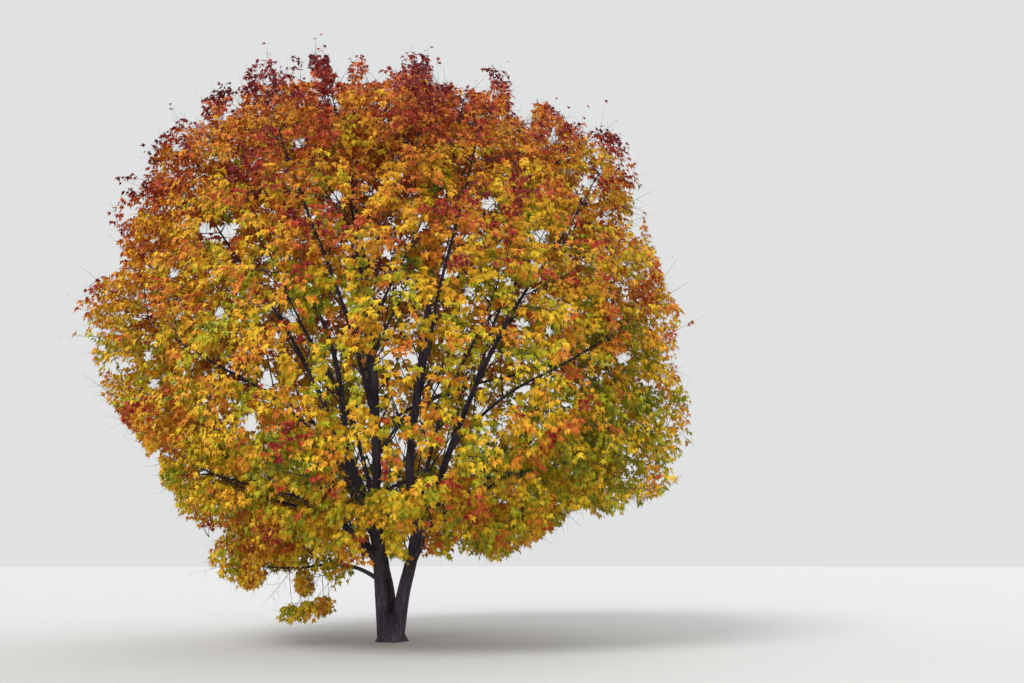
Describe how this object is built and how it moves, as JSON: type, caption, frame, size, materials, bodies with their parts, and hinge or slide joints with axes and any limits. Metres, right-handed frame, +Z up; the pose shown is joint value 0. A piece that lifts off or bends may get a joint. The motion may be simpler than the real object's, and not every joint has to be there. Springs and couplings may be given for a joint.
{
  "type": "maple tree in autumn leaf",
  "caption": "Broad round-crowned maple tree in red, orange and gold autumn leaf, with stems rising from one flared root collar into ascending boughs.",
  "frame": {"origin": "middle of the root collar on the flat cut at ground level", "axes": "+Z straight up; -Y towards the side the tree is seen from; +X to the right of that view"},
  "size_m": [12.2796, 11.9899, 12.1629],
  "materials": {
    "bark": "rough, finely furrowed dark bark",
    "foliage_low": "matte gold leaves",
    "foliage_mid": "matte orange leaves",
    "foliage_high": "matte orange-red leaves",
    "foliage_top": "matte dark red leaves"
  },
  "bodies": {
    "root": {"trunk": "bark", "stem_left": "bark", "stem_right": "bark", "stem_back": "bark", "leader_left": "bark", "leader_right": "bark", "leader_back": "bark", "bough_low_droop": "bark", "bough_low_left_front": "bark", "bough_low_front": "bark", "bough_mid_front": "bark", "bough_high_left_front": "bark", "bough_mid_left": "bark", "bough_low_right_front": "bark", "bough_mid_right_front": "bark", "bough_high_right_front": "bark", "bough_low_right": "bark", "bough_mid_right": "bark", "bough_high_right_back": "bark", "bough_low_left": "bark", "bough_low_left_back": "bark", "bough_mid_left_back": "bark", "bough_mid_back_left": "bark", "bough_low_back": "bark", "bough_low_back_right": "bark", "bough_low_right_back": "bark", "bough_mid_back": "bark", "bough_mid_right_back": "bark", "bough_high_back": "bark", "bough_top_right_back": "bark", "foliage_low_right": "foliage_low", "foliage_low_right_back": "foliage_low", "foliage_low_back_right": "foliage_low", "foliage_low_back": "foliage_low", "foliage_low_left_back": "foliage_low", "foliage_low_left": "foliage_low", "foliage_low_left_front": "foliage_low", "foliage_low_front": "foliage_low", "foliage_low_right_front": "foliage_low", "foliage_low_droop": "foliage_low", "foliage_mid_right": "foliage_mid", "foliage_mid_right_back": "foliage_mid", "foliage_mid_back": "foliage_mid", "foliage_mid_back_left": "foliage_mid", "foliage_mid_left_back": "foliage_mid", "foliage_mid_left": "foliage_mid", "foliage_mid_front": "foliage_mid", "foliage_mid_right_front": "foliage_mid", "foliage_high_right": "foliage_high", "foliage_high_right_back": "foliage_high", "foliage_high_back": "foliage_high", "foliage_high_left_back": "foliage_high", "foliage_high_left": "foliage_high", "foliage_high_left_front": "foliage_high", "foliage_high_right_front": "foliage_high", "foliage_top_right_front": "foliage_top", "foliage_top_right_back": "foliage_top", "foliage_top_left_back": "foliage_top", "foliage_top_left_front": "foliage_top"}
  },
  "joints": []
}
